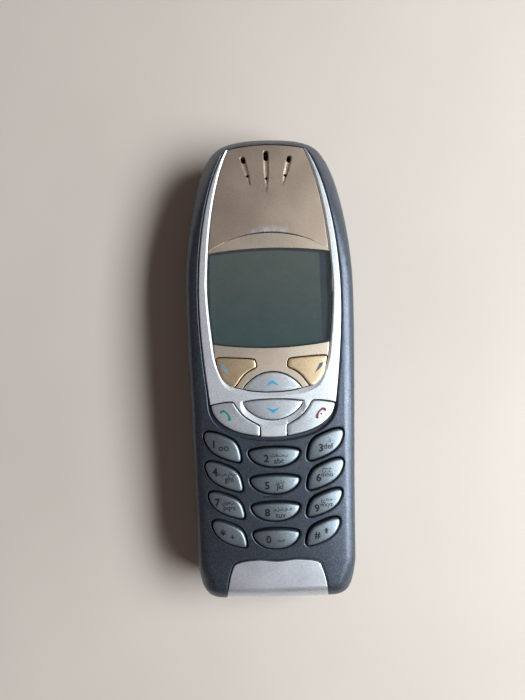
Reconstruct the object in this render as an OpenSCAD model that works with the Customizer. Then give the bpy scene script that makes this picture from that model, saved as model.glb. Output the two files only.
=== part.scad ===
// Candy-bar mobile phone lying on its back.
// +X is the phone's right, +Y its top end, +Z out through the display.
// The origin is under its middle, on the back face.

/* [Body] */
// Length of the phone
body_l = 129; // [126:0.5:132]
// Thickness from the back face to the top of the crowned front
body_t = 21; // [20:0.25:22]
// Height of the joint between the rear frame and the front cover
joint_z = 9; // [8.6:0.1:9.2]
// Height at which the phone is widest
widest_z = 11.5; // [11:0.1:12]
// Radius across the crowned front
crown_across_r = 227; // [200:1:300]
// Radius along the crowned front
crown_along_r = 833; // [700:1:1200]
// Place along the length where the front stands highest
crown_y = 5; // [0:1:10]
// Wall of the covers at the sides
side_wall = 1.5; // [1.3:0.1:1.6]
// Wall of the front cover under the crown
top_wall = 2; // [1.9:0.05:2.1]

/* [Keys] */
// Height that the number keys stand above the front
key_rise = 1.2; // [0.8:0.1:1.4]
// Travel of every key
key_travel = 0.4; // [0.3:0.05:0.5]
// Gap round each key in its opening
key_gap = 0.3; // [0.25:0.05:0.4]
// Width of the hidden rim that keeps a key in
key_rim = 0.45; // [0.35:0.05:0.5]
// Height of the underside of every key
key_base_z = 15.3; // [15.2:0.1:15.5]

/* [Boards] */
// Height of the main board's underside
board_z = 10; // [9.8:0.1:10.2]
// Thickness of the main board
board_t = 1; // [0.8:0.1:1.1]

/* [Battery] */
// Width of the battery
battery_w = 32.6; // [31:0.2:33]
// Length of the battery
battery_l = 58; // [56:0.5:59]
// Thickness of the battery
battery_t = 4.6; // [4:0.1:4.8]
// Place along the length where the battery cover ends
cover_top_y = 8; // [7.5:0.5:9]

/* [Inlets] */
// Diameter of the charger socket
charger_d = 3.5; // [3.3:0.1:3.6]
// Depth of the charger socket
charger_depth = 8; // [7:0.5:9]
// Place of the charger socket across the bottom end
charger_x = 12.4; // [12:0.1:12.6]
// Height of the charger socket
charger_z = 6.9; // [6.8:0.05:7]

/* [Hidden] */
$fa = 4;
$fs = 0.4;
eps = 0.01;
half_l = body_l / 2;
edge_r = 4.6;            // how far the rounded side reaches in over the front
back_r = 4.2;            // how far the rounded side reaches in over the back
back_wall = 1.2;
cover_wall = 1.1;        // wall of the battery cover
cover_split_z = 4.6;     // height of the joint between the battery cover and the rear frame
arc_steps = 6;           // points on each Bezier stretch of a large outline
slip = 0.1;              // gap between fixed pieces
bezel_rise = 0.25;       // how far each front piece stands above the crown
fascia_rise = 0.1;
lens_rise = 0.05;
nav_rise = 0.45;
plate_rise = 0.12;
fascia_t = 1.9;          // depth of the fascia's underside below the crown
ledge = 0.8;             // reach of the bezel's rim under the fascia
flange = 0.5;            // reach of its rim under the front cover
window_x = 14.2;         // half width of the display window in the fascia
window_y = [5, 28.7];
nav_gap = 0.2;
rim_clear = 0.15;        // gap over the hidden rim of a key
rim_depth = top_wall + 0.8;  // depth of a number key's hidden rim below the crown
plate_t = 0.9;
lens_t = 1.25;
gasket_t = 0.15;
ear_slots = [[0, 56.7, 0.95, 2.4], [0, 50.2, 0.6, 0.8], [6.3, 55.7, 1, 1.6], [-6.3, 55.7, 1, 1.6],
    [5.2, 51, 0.6, 0.8], [-5.2, 51, 0.6, 0.8]];  // x, y, width, length
screw_r = 0.8;
screw_places = [[17.2, 44], [-17.2, 44], [17, -58.2], [-17, -58.2]];
boss_top = 16;
tray_z = 7.4;            // underside of the battery bay's roof
tray_t = 0.8;
battery_z = 1.4;
battery_y0 = -54;
battery_y1 = battery_y0 + battery_l;
bay_y0 = battery_y0 - 0.6;
hook_places = [-40, -8];  // lower end of each pair of hooks on the battery cover
hook_l = 4;
board_top = board_z + board_t;
sim_size = [15, 25, 0.76];
sim_y0 = -24;
sim_cage_y = [-22, 1];
sim_z = 6.55;
buzzer_x = 10.2;
buzzer_y = 40.2;
grip_y = 0.5;            // middle of the grip on the battery cover
lcd_w = 30.6;
lcd_z = 14.2;
lcd_t = 2.8;
ear_y = 53.5;
ear_top = 15.6;
mat_t = 0.8;
mat_z = key_base_z - key_travel - 0.3 - mat_t;  // just clear of the pressed keys
dome_top = board_top + 0.5;
motor_y = 26;
motor_z = 4.4;
motor_r = 2.1;
shaft_r = 0.35;
rocker_x = -21.2;
rocker_y = 28;
rocker_z = [5.6, 7.8];
rocker_lugs = [[4.3, 5.2], [8.2, 8.9]];
rocker_pin_r = 0.5;
charger_mouth = half_l - 0.6;

// ---- outlines: each list is the right half, from the top middle round to the bottom middle,
// as Bezier stretches ----

body_half = [[0, half_l], [8, half_l], [13.6, half_l - 0.9], [16.2, half_l - 4.7],
    [21.1, 52.5], [23.5, 38], [23.5, 20], [23.5, 2], [22, -22], [21.6, -52],
    [21.5, 4 - half_l], [20.5, -half_l], [14.5, -half_l], [10, -half_l], [5, -half_l], [0, -half_l]];
bezel_half = [[0, 59.8], [4, 59.8], [8, 59.3], [11, 58.6], [16.1, 51.3], [19.2, 34], [19.2, 18],
    [19.2, 8], [17.8, -4], [16.8, -11.2], [16.2, -17.4], [9, -20.2], [0, -20.2]];
fascia_half = [[0, 60.2], [3.5, 60.2], [7, 59.8], [10.3, 59], [15, 48.7], [16.5, 34], [16.9, 21],
    [16.9, 15], [15.9, 6], [15.2, 1], [13.9, -4.4], [12.2, -6.2], [10.1, -6.9], [7, -7.8], [3.5, -8], [0, -8]];
lens_half = [[0, 30.5], [5, 30.5], [12, 30.1], [16.3, 29.4], [16.9, 22], [16.8, 12], [15.5, 4.8],
    [11, 4], [5, 3.5], [0, 3.5]];
scroll_up_half = [[0, -3.1], [2, -3.1], [3.7, -3.7], [5.2, -4.8], [6.2, -5.5], [6.9, -6.2], [7.75, -7.3],
    [6, -7.9], [3, -8.2], [0, -8.2]];
scroll_down_half = [[0, -10.3], [3, -10.3], [6, -10.6], [7.9, -11], [7.4, -12.4], [6.2, -13.4], [5, -14.2],
    [3.6, -15.1], [2, -15.6], [0, -15.6]];
moon_half = [[0, 1], [0.4, 1], [0.75, 0.95], [0.95, 0.84], [1.02, 0.76], [0.98, 0.62], [0.9, 0.46],
    [0.72, 0.16], [0.4, 0], [0, 0]];
plate_half = [[0, -53.1], [2, -53.1], [3.4, -52.7], [5.1, -52.7], [7, -52.8], [11.4, -53], [11.6, -54.5],
    [12.6, -57], [13.3, -60], [13.7, -66], [9, -66], [5, -66], [0, -66]];

// right-hand keys, corner by corner
leaf = [[1, 0.88], [0.96, 0.98], [0.855, 1], [0.68, 0.96], [0.51, 0.885], [0.34, 0.8], [0.19, 0.7], [0.1, 0.57],
    [0.045, 0.41], [0.015, 0.25], [0, 0.1], [0.02, 0.02], [0.08, 0], [0.25, 0.055], [0.42, 0.125], [0.6, 0.22],
    [0.77, 0.357], [0.89, 0.52], [0.97, 0.715]];
soft_key_right_outline = [[14.6, 1.1], [10, 0.85], [4.9, 0.5], [4.4, 0], [4.2, -1.4], [4.5, -1.8], [5.5, -2.2],
    [7, -3.1], [8.4, -4.5], [9.6, -6.3], [10.2, -6.85], [11.2, -6.6], [12.6, -5.4], [13.6, -4], [14.3, -2],
    [14.8, 0.6]];
end_key_outline = [[16.4, -11.6], [13.8, -11.05], [10.9, -10.8], [10.4, -11.2], [9.5, -12.8], [7.95, -14.7],
    [5.8, -16.1], [3.9, -17.1], [3.7, -17.5], [3.7, -19.75], [4, -19.9], [5.15, -19.7], [7.45, -19.25],
    [9.55, -18.65], [11.45, -17.85], [13.1, -16.9], [14.5, -15.75], [15.55, -14.45], [16.2, -12.95],
    [16.45, -11.9]];
// inner edge x, width, bottom y and height of each row's side keys;
// width, bottom y and height of its middle key
side_rows = [[8.9, 9.6, -26.6, 8], [8.65, 9.7, -34.35, 7.9], [8.35, 9.3, -41.45, 7], [7.95, 8.9, -49.05, 7]];
middle_rows = [[13.4, -27.9, 4.8], [12.9, -35, 4.7], [12.6, -42.1, 4.6], [12, -49.4, 4.9]];

function bezier(a, b, c, d, t) =
    (1 - t) ^ 3 * a + 3 * t * (1 - t) ^ 2 * b + 3 * t ^ 2 * (1 - t) * c + t ^ 3 * d;
function stretches(points, steps) =
    [for (k = [0 : 3 : len(points) - 4]) for (i = [0 : steps - 1])
        bezier(points[k], points[k + 1], points[k + 2], points[k + 3], i / steps)];
// a whole closed outline, clockwise, from its right half
function whole(half, steps) =
    let (right = concat(stretches(half, steps), [half[len(half) - 1]]), n = len(right))
    concat(right, [for (i = [n - 2 : -1 : 1]) [-right[i][0], right[i][1]]]);
function outward(points, i) =
    let (n = len(points), along = points[(i + 1) % n] - points[(i + n - 1) % n])
    [-along[1], along[0]] / norm(along);
// moves a clockwise outline outwards by d
function grown(points, d) = [for (i = [0 : len(points) - 1]) points[i] + d * outward(points, i)];
function mirrored(points) = [for (i = [len(points) - 1 : -1 : 0]) [-points[i][0], points[i][1]]];
function placed(points, x, y, w, h) = [for (p = points) [x + w * p[0], y + h * p[1]]];
function reversed(points) = [for (i = [len(points) - 1 : -1 : 0]) points[i]];
function crown(p) =
    body_t - p[0] ^ 2 / (2 * crown_across_r) - (p[1] - crown_y) ^ 2 / (2 * crown_along_r);

body = whole(body_half, arc_steps);
bezel = whole(bezel_half, arc_steps);
fascia = whole(fascia_half, arc_steps);
lens = whole(lens_half, arc_steps);
scroll_up = whole(scroll_up_half, 4);
scroll_down = whole(scroll_down_half, 4);
plate = whole(plate_half, 4);
soft_right = reversed(soft_key_right_outline);
end_outline = reversed(end_key_outline);

function side_key(row, side) =
    let (r = side_rows[row], right = reversed(placed(leaf, r[0], r[2], r[1], r[3])))
    side > 0 ? right : mirrored(right);
function middle_key(row) =
    let (r = middle_rows[row]) placed(whole(moon_half, 4), 0, r[1], r[0] / 2, r[2]);
// column 0 is the left, 1 the middle, 2 the right
function number_key(row, column) = column == 1 ? middle_key(row) : side_key(row, column - 1);

number_keys = [for (row = [0 : 3]) for (column = [0 : 2]) number_key(row, column)];
fascia_keys = [mirrored(soft_right), soft_right, scroll_up];
bezel_keys = [scroll_down, mirrored(end_outline), end_outline];

// ---- solids that several pieces share ----

// everything under the crowned front, lowered by drop
module under_crown(drop) {
    sweep = 2 * asin((half_l + 6) / crown_along_r);
    translate([0, crown_y, body_t - drop - crown_along_r]) rotate([90, 0, 90])
        rotate_extrude(angle = sweep, start = 90 - sweep / 2, $fn = 720) intersection() {
            translate([crown_along_r - crown_across_r, 0]) circle(crown_across_r, $fn = 360);
            translate([crown_along_r - 2 * body_t, -28]) square([2 * body_t + 1, 56]);
        }
}
// an upright block with this outline, from z0 up to the front lowered by drop
module crowned(outline, z0, drop) intersection() {
    block(outline, z0, body_t - drop + 1);
    under_crown(drop);
}
// the same for a short piece around y: there the crown is as good as a cylinder,
// tilted to the crown's own slope
module crowned_near(y, outline, z0, drop) intersection() {
    block(outline, z0, body_t - drop + 1);
    translate([0, y, crown([0, y]) - drop]) rotate([atan((crown_y - y) / crown_along_r), 0, 0])
        translate([0, half_l, -crown_across_r]) rotate([90, 0, 0])
            cylinder(r = crown_across_r, h = body_l, $fn = 720);
}
function middle_y(outline) =
    let (ys = [for (p = outline) p[1]]) (min(ys) + max(ys)) / 2;
module block(outline, z0, z1) translate([0, 0, z0]) linear_extrude(z1 - z0) polygon(outline);
module box(low, high) translate(low) cube(high - low);
module rod_y(x, z, r, y0, y1) translate([x, y1, z]) rotate([90, 0, 0]) cylinder(r = r, h = y1 - y0);
module rod_x(y, z, r, x0, x1) translate([x0, y, z]) rotate([0, 90, 0]) cylinder(r = r, h = x1 - x0);

// a skin made of closed rings that follow the body's outline, between a first and a last point
module ring_skin(first, rings, last) {
    n = len(body);
    m = len(rings);
    end = 1 + m * n;
    polyhedron(
        points = concat([first], [for (ring = rings) for (p = ring) p], [last]),
        faces = concat(
            [for (i = [0 : n - 1]) [0, 1 + i, 1 + (i + 1) % n]],
            [for (k = [0 : m - 2]) for (i = [0 : n - 1])
                let (u = 1 + k * n, l = u + n, j = (i + 1) % n)
                each [[u + i, l + i, l + j], [u + i, l + j, u + j]]],
            [for (i = [0 : n - 1]) [end - n + i, end, end - n + (i + 1) % n]]));
}
// one ring of the rounded front side: a goes from 0 at the widest height to 90 at the crown
function front_ring(a, side, top) =
    let (rim = grown(body, -edge_r), p = grown(body, -edge_r * (1 - cos(a)) - side * cos(a)))
    [for (i = [0 : len(p) - 1]) [p[i][0], p[i][1], widest_z + (crown(rim[i]) - top - widest_z) * sin(a)]];
// one ring on the crown itself, drawn in to this share of its rim
function crown_ring(share, top) =
    [for (p = grown(body, -edge_r)) [p[0] * share, p[1] * share, crown(p * share) - top]];
// one ring of the rounded back side: b goes from 0 at the widest height to 90 on the back face
function back_ring(b, side, bottom) =
    [for (p = grown(body, -back_r * (1 - cos(b)) - side * cos(b)))
        [p[0], p[1], widest_z * (1 - sin(b)) + bottom * sin(b)]];
joint_b = asin(1 - joint_z / widest_z);
side_angles = [90, 75, 60, 45, 30, 15, 0];
crown_shares = [0.25, 0.5, 0.75];

function front_rings(side, top) = concat(
    [for (s = crown_shares) crown_ring(s, top)],
    [for (a = side_angles) front_ring(a, side, top)],
    [back_ring(joint_b, side, 0)]);
function front_peak(top) = [0, 0, crown([0, 0]) - top];
module front_shell()
    ring_skin(front_peak(0), concat(front_rings(0, 0), reversed(front_rings(side_wall, top_wall))),
        front_peak(top_wall));
module front_core(side, top) ring_skin(front_peak(top), front_rings(side, top), [0, 0, joint_z]);
function back_rings(wall) = concat([for (b = side_angles) if (b > joint_b) back_ring(b, wall, wall)],
    [back_ring(joint_b, wall, 0)]);
module back_shell(wall)
    ring_skin([0, 0, wall], concat(back_rings(wall), reversed(back_rings(0))), [0, 0, 0]);

// ---- front ----

module key_holes(outlines, gap) for (o = outlines) block(grown(o, gap), joint_z, body_t + 5);

module front_cover() color("#3a3f4a") {
    difference() {
        union() {
            front_shell();
            for (p = screw_places) translate([p[0], p[1], board_top + slip])
                cylinder(r = 1.8, h = boss_top - board_top - slip);
            for (side = [0, 1]) mirror([side, 0, 0]) box([18, 43.2, board_top + slip], [20.7, 44.8, 15]);
        }
        block(grown(bezel, slip), joint_z + 3, body_t + 5);
        key_holes(number_keys, key_gap);
        difference() {
            block(grown(plate, slip), joint_z + 0.5, body_t + 5);
            front_core(plate_t + slip, plate_t + slip);
        }
        for (p = screw_places) translate([p[0], p[1], joint_z]) cylinder(r = screw_r + 0.05, h = 6);
    }
    // the tactile bar under the middle key
    crowned_near(-36, [[-3, -35.8], [2.5, -35.8], [2.5, -36.2], [-3, -36.2]], 19, -0.3);
}
// the fascia's plan, clipped where it meets the bezel's top edge
module fascia_plan(d) intersection() {
    polygon(grown(fascia, d));
    polygon(bezel);
}
module silver_bezel() color("#bdc1cb") difference() {
    union() {
        crowned(bezel, 15, -bezel_rise);
        crowned(grown(bezel, flange), 14, top_wall + 3 * slip);
    }
    difference() {
        block(grown(fascia, slip), 12, body_t + 5);
        under_crown(fascia_t + slip / 2);
    }
    block(grown(fascia, -ledge), 12, body_t + 5);
    key_holes(concat(fascia_keys, bezel_keys), nav_gap);
    under_crown(top_wall + ledge - slip);
}
module gold_fascia() color("#b39f84") difference() {
    intersection() {
        translate([0, 0, 12]) linear_extrude(body_t) fascia_plan(0);
        under_crown(-fascia_rise);
    }
    under_crown(fascia_t);
    difference() {
        block(grown(lens, slip), 12, body_t + 5);
        under_crown(lens_t + gasket_t);
    }
    box([-window_x, window_y[0], 12], [window_x, window_y[1], body_t + 5]);
    key_holes(fascia_keys, nav_gap);
    for (s = ear_slots) translate([s[0], s[1], 12]) linear_extrude(body_t) slot(s[2], s[3]);
}
module slot(width, length) {
    for (side = [-1, 1]) translate([0, side * (length - width) / 2]) circle(d = width);
    square([width, length - width], center = true);
}
module display_lens() color("#6a7478", 0.6) difference() {
    crowned(lens, 16, -lens_rise);
    under_crown(lens_t);
}
module lens_adhesive() color("#15171b") difference() {
    crowned(grown(lens, -0.4), 16, lens_t);
    under_crown(lens_t + gasket_t);
    box([-window_x - 0.3, window_y[0] - 0.3, 15], [window_x + 0.3, window_y[1] + 0.3, body_t + 5]);
}
module bottom_plate() color("#b6bac9") intersection() {
    block(plate, joint_z + 0.6, body_t + 5);
    difference() {
        front_core(0, -plate_rise);
        front_core(plate_t, plate_t);
    }
}

// ---- keys: a cap in its opening over a wider rim that stays under the cover ----

module push_key(outline, gap, rise, rim_drop) {
    crowned_near(middle_y(outline), outline, key_base_z, -rise);
    crowned_near(middle_y(outline), grown(outline, gap + key_rim), key_base_z, rim_drop);
}
module number_cap(i) color("#97a0ad") push_key(number_keys[i], key_gap, key_rise, rim_depth);
module nav_cap(outline, c) color(c) push_key(outline, nav_gap, nav_rise, top_wall + ledge + rim_clear);

// ---- display, ear and keypad parts on the front of the board ----

module display_module() color("#5d6964")
    box([-lcd_w / 2, 2.6, lcd_z], [lcd_w / 2, 30.8, lcd_z + lcd_t]);
module light_guide() color("#e4e2d6") difference() {
    box([-16.3, 1.7, board_top], [16.3, 32.6, lcd_z + 1]);
    box([-lcd_w / 2 - slip, 2.5, lcd_z], [lcd_w / 2 + slip, 30.9, lcd_z + 2]);
}
module dust_gasket() color("#202225") difference() {
    crowned_near(17, [[-14.7, 30.2], [14.7, 30.2], [14.7, 3.6], [-14.7, 3.6]],
        lcd_z + lcd_t, fascia_t + 2 * slip);
    box([-window_x, window_y[0], lcd_z], [window_x, window_y[1], body_t]);
}
module earpiece() color("#5b5d60") {
    translate([0, ear_y, board_top]) cylinder(r = 5.5, h = ear_top - board_top - 1);
    translate([0, ear_y, ear_top - 1]) cylinder(r = 5, h = 1);
}
module earpiece_gasket() color("#26282b") difference() {
    crowned_near(ear_y, [for (a = [0 : 10 : 350]) [5 * sin(a), ear_y + 5 * cos(a)]], ear_top, fascia_t + slip);
    translate([0, ear_y, ear_top - 1]) cylinder(r = 3.9, h = 6);
}
// the point over which each key presses, the number keys row by row: for the domes and the mat's feet
key_centres = concat(
    [for (row = [0 : 3]) for (column = [-1 : 1])
        [column * 13.6, middle_rows[row][1] + middle_rows[row][2] / 2 + abs(column) * 2.4]],
    [[-10, -1.5], [10, -1.5], [0, -5.8], [0, -13], [-12, -14.2], [12, -14.2]]);

module keypad_mat() color("#8d9196") {
    intersection() {
        block(grown(body, -3.4), mat_z, mat_z + mat_t);
        box([-25, -51.5, 0], [25, 1.2, body_t]);
    }
    for (p = key_centres) translate([p[0], p[1], dome_top + slip]) cylinder(r = 1.2, h = mat_z - dome_top);
}
module dome_sheet() color("#c9ccce") {
    intersection() {
        block(grown(body, -4), board_top, board_top + 0.2);
        box([-25, -51, 0], [25, 1, body_t]);
    }
    for (p = key_centres) translate([p[0], p[1], board_top]) cylinder(r = 2.2, h = dome_top - board_top);
}

// ---- the main board and what its back carries ----

module main_board() color("#2f6b45") difference() {
    block(grown(body, -3), board_z, board_top);
    for (p = screw_places) translate([p[0], p[1], board_z - 1]) cylinder(r = screw_r + 0.2, h = board_t + 2);
}
module shield(low, high) color("#c4c6c8") difference() {
    box(low, high);
    box([low[0] + 0.3, low[1] + 0.3, low[2] + 0.3], [high[0] - 0.3, high[1] - 0.3, high[2] + 1]);
}
module upper_shield() shield([-15, 10.5, 8.1], [15, 34.5, board_z]);
module lower_shield() shield([-16, -50, 8.4], [16, -28, board_z]);
module buzzer() color("#2b2d30") difference() {
    box([buzzer_x - 3.7, buzzer_y - 3.7, 6.6], [buzzer_x + 3.8, buzzer_y + 3.8, board_z]);
    translate([buzzer_x, buzzer_y, 6]) cylinder(r = 0.8, h = 2);
}
module backup_cell() color("#b9bbbd") {
    translate([-9.6, 40, 8.3]) cylinder(r = 3.4, h = board_z - 8.3);
    translate([-9.6, 40, 7.9]) cylinder(r = 2.8, h = 0.4);
}
module antenna_carrier() color("#e7e4dc") difference() {
    intersection() {
        block(grown(body, -3.4), 2.2, board_z);
        box([-25, 47.6, 0], [25, 66, body_t]);
    }
    intersection() {
        block(grown(body, -4.4), 3.2, board_z + 1);
        box([-25, 48.6, 0], [25, 66, body_t]);
    }
}
module antenna_element() color("#c99f55") difference() {
    intersection() {
        block(grown(body, -4.6), 1.9, 2.2);
        box([-25, 48, 0], [25, 66, body_t]);
    }
    box([-1.2, 40, 1], [0.2, 57, 3]);
}
module vibration_motor() color("#a9adb0") difference() {
    rod_x(motor_y, motor_z, motor_r, -9, 1);
    rod_x(motor_y, motor_z, shaft_r + 0.04, -5, 1 + eps);
}
module vibration_weight() color("#8a8378") {
    rod_x(motor_y, motor_z, shaft_r, -4.5, 5.2);
    intersection() {
        rod_x(motor_y, motor_z, 2.2, 2, 5);
        box([2, motor_y - 3, motor_z - 3], [5, motor_y + 3, motor_z]);
    }
}
module battery_contacts() color("#c9a24f")
    box([-5, battery_y1 + 0.4, 2.4], [5, battery_y1 + 3.2, board_z]);
module sim_contacts() color("#c9a24f") box([-6, -18, tray_z + slip], [6, -6, board_z]);

// ---- rear ----

module battery() color("#3b3e42") difference() {
    box([-battery_w / 2, battery_y0, battery_z], [battery_w / 2, battery_y1, battery_z + battery_t]);
    for (x = [-3, 0, 3]) box([x - 0.7, battery_y1 - 0.3, 3], [x + 0.7, battery_y1 + 1, 4.8]);
}
module sim_card() color("#e9e7df")
    box([-sim_size[0] / 2, sim_y0, sim_z], [sim_size[0] / 2, sim_y0 + sim_size[1], sim_z + sim_size[2]]);
module sim_cage() color("#c4c6c8") for (side = [0, 1]) mirror([side, 0, 0]) {
    box([sim_size[0] / 2 + slip, sim_cage_y[0], sim_z - 0.4], [sim_size[0] / 2 + 0.5, sim_cage_y[1], tray_z]);
    box([sim_size[0] / 2 - 0.8, sim_cage_y[0], sim_z - 0.4],
        [sim_size[0] / 2 + slip, sim_cage_y[1], sim_z - slip]);
}

// plan of the joint that lets the battery cover slide off the bottom end
module cover_zone(y, z) box([-30, -half_l - 5, -1], [30, y, z]);

module battery_cover() color("#30343c") {
    difference() {
        intersection() {
            back_shell(cover_wall);
            cover_zone(cover_top_y - slip, cover_split_z);
        }
        // grooves of the thumb grip, in an oval
        for (i = [-3 : 3]) let (reach = 9 * sqrt(1 - (i / 4) ^ 2))
            box([-reach, grip_y + 1.5 * i - 0.35, -1], [reach, grip_y + 1.5 * i + 0.35, 0.35]);
    }
    for (y = hook_places) for (side = [0, 1]) mirror([side, 0, 0]) {
        box([18.9, y, 1.35], [19.5, y + hook_l, 4.1]);
        box([18, y, 3.5], [19.5, y + hook_l, 4.1]);
    }
}
module rear_frame() color("#30343c") difference() {
    union() {
        difference() {
            back_shell(back_wall);
            cover_zone(cover_top_y, cover_split_z + slip);
        }
        // roof of the battery bay
        intersection() {
            block(grown(body, -0.9), tray_z, tray_z + tray_t);
            cover_zone(cover_top_y + 1, joint_z);
        }
        // bulkhead at the top of the bay
        translate([0, cover_top_y + 1, 0]) rotate([90, 0, 0]) linear_extrude(1)
            polygon([[-19.2, 0.5], [-20.7, 1.6], [-21.8, 4.5], [-22.3, tray_z + tray_t],
                [22.3, tray_z + tray_t], [21.8, 4.5], [20.7, 1.6], [19.2, 0.5]]);
        // side and end walls of the bay, with the ledges that the cover's hooks hold
        for (side = [0, 1]) mirror([side, 0, 0]) {
            box([16.6, bay_y0, 1.5], [17.7, cover_top_y + 0.5, tray_z + 0.1]);
            for (y = hook_places) box([17.6, y - 6, 2.6], [18.6, y + hook_l + 2, 3.2]);
        }
        box([-17.7, bay_y0 - 1, 1.5], [17.7, bay_y0, tray_z + 0.1]);
        // posts under the board
        for (p = screw_places) translate([p[0], p[1], p[1] > 0 ? 0.9 : 5.9])
            cylinder(r = 2.1, h = board_z - (p[1] > 0 ? 0.9 : 5.9));
        // saddle for the vibration motor
        box([-8, motor_y - 2.8, 1], [0, motor_y + 2.8, motor_z]);
        // lugs of the volume rocker's pin
        for (z = rocker_lugs) box([-22.4, rocker_y - 1.5, z[0]], [-20.2, rocker_y + 1.5, z[1]]);
    }
    rod_x(motor_y, motor_z, motor_r + 0.03, -8.5, 0.5);
    translate([rocker_x, rocker_y, 3]) cylinder(r = rocker_pin_r + 0.05, h = 8);
    box([-26, rocker_y - 8.4, rocker_z[0] - 0.3], [-19, rocker_y + 8.4, rocker_z[1] + 0.3]);
    for (p = screw_places) {
        translate([p[0], p[1], -1]) cylinder(r = screw_r + 0.1, h = 12);
        translate([p[0], p[1], -1]) cylinder(r = 1.65, h = p[1] > 0 ? 4 : 7);
    }
    // sound slots of the buzzer
    for (i = [-1 : 1]) translate([buzzer_x + 1.8 * i, buzzer_y, -1]) linear_extrude(3) slot(0.8, 5);
    box([-6.3, -18.3, 6], [6.3, -5.7, joint_z]);
    box([-5.3, battery_y1 + 0.3, 6], [5.3, cover_top_y - 0.2, joint_z]);
    box([-8.2, -half_l - 2, 5.7], [8.2, -57, joint_z + 1]);
    box([charger_x - 2.2, -62.9, 4.7], [charger_x + 2.2, -55.3, joint_z + 1]);
    rod_y(charger_x, charger_z, charger_d / 2 + 0.4, -half_l - 2, -60);
    box([-charger_x - 2.3, -63.1, 4.7], [-charger_x + 2.3, -60.2, joint_z + 1]);
    rod_y(-charger_x, charger_z, 0.5, -half_l - 2, -62);
}
module system_connector() color("#22252a") difference() {
    union() {
        box([-8, -63.9, 5.9], [8, -57.2, 8.8]);
        box([-8, -61, 8.8], [8, -57.2, board_z]);
    }
    box([-7, -65, 6.6], [7, -59.5, 8.2]);
    for (i = [-5 : 5]) box([i * 1.2 - 0.25, -60, 6.2], [i * 1.2 + 0.25, -58.5, 7]);
}
module charger_socket() color("#22252a") difference() {
    union() {
        rod_y(charger_x, charger_z, charger_d / 2 + 0.3, -charger_mouth, -60);
        box([charger_x - 2.05, -62.7, charger_z - 2.05], [charger_x + 2.05, -55.5, charger_z + 2]);
        box([charger_x - 2.05, -61, charger_z], [charger_x + 2.05, -55.5, board_z]);
    }
    rod_y(charger_x, charger_z, charger_d / 2, -charger_mouth - eps, charger_depth - charger_mouth);
}
module microphone() color("#a9adb0") rod_y(-charger_x, charger_z, 1.6, -62.4, -60.4);
module microphone_boot() color("#26282b") difference() {
    rod_y(-charger_x, charger_z, 2.05, -62.9, -60.4);
    rod_y(-charger_x, charger_z, 1.6, -62.4, -60);
    rod_y(-charger_x, charger_z, 0.5, -63, -62);
}
module volume_rocker() color("#3f444d") {
    intersection() {
        difference() {
            block(grown(body, -0.1), rocker_z[0], rocker_z[1]);
            block(grown(body, -2.7), rocker_z[0] - 1, rocker_z[1] + 1);
        }
        box([-26, rocker_y - 7.8, 0], [0, rocker_y + 7.8, body_t]);
    }
    translate([rocker_x, rocker_y, rocker_lugs[0][0]])
        cylinder(r = rocker_pin_r, h = rocker_lugs[1][1] - rocker_lugs[0][0]);
}
module case_screws() color("#8f9397") for (p = screw_places) {
    z = p[1] > 0 ? 2 : 4.9;
    translate([p[0], p[1], z]) cylinder(r = screw_r, h = boss_top - 1.5 - z);
    translate([p[0], p[1], z]) difference() {
        cylinder(r = 1.45, h = 1);
        translate([0, 0, -eps]) cylinder(r = 0.7, h = 0.5, $fn = 6);
    }
}

front_cover();
rear_frame();
battery_cover();
silver_bezel();
gold_fascia();
display_lens();
lens_adhesive();
bottom_plate();
nav_cap(fascia_keys[0], "#d3bf96");  // soft_key_left
nav_cap(fascia_keys[1], "#d3bf96");  // soft_key_right
nav_cap(fascia_keys[2], "#aab1bd");  // scroll_up_key
nav_cap(bezel_keys[0], "#aab1bd");  // scroll_down_key
nav_cap(bezel_keys[1], "#aab1bd");  // call_key
nav_cap(bezel_keys[2], "#aab1bd");  // end_key
number_cap(0);  // key_1
number_cap(1);  // key_2
number_cap(2);  // key_3
number_cap(3);  // key_4
number_cap(4);  // key_5
number_cap(5);  // key_6
number_cap(6);  // key_7
number_cap(7);  // key_8
number_cap(8);  // key_9
number_cap(9);  // key_star
number_cap(10);  // key_0
number_cap(11);  // key_hash
keypad_mat();
dome_sheet();
main_board();
upper_shield();
lower_shield();
display_module();
light_guide();
dust_gasket();
earpiece();
earpiece_gasket();
buzzer();
vibration_motor();
vibration_weight();
antenna_carrier();
antenna_element();
backup_cell();
battery();
battery_contacts();
sim_card();
sim_cage();
sim_contacts();
system_connector();
charger_socket();
microphone();
microphone_boot();
volume_rocker();
case_screws();
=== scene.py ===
import math

import bmesh
import bpy
from mathutils import Matrix, Vector
from mathutils.kdtree import KDTree


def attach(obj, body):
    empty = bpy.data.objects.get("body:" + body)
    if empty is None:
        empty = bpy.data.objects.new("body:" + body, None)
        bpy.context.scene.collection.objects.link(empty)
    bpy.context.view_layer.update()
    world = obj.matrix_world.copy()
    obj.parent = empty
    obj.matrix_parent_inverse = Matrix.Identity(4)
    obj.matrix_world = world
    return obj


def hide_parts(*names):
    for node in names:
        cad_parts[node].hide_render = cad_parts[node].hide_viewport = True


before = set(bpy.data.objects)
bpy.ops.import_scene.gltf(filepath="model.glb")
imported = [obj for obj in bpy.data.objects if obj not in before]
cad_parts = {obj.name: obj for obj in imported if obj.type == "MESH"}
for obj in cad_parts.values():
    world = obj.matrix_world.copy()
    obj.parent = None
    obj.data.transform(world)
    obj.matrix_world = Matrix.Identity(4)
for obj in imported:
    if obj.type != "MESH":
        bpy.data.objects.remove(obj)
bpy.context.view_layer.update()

# ---- the phone's sizes, in mm; +X is its right, +Y its top end, +Z out through the display ----

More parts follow.
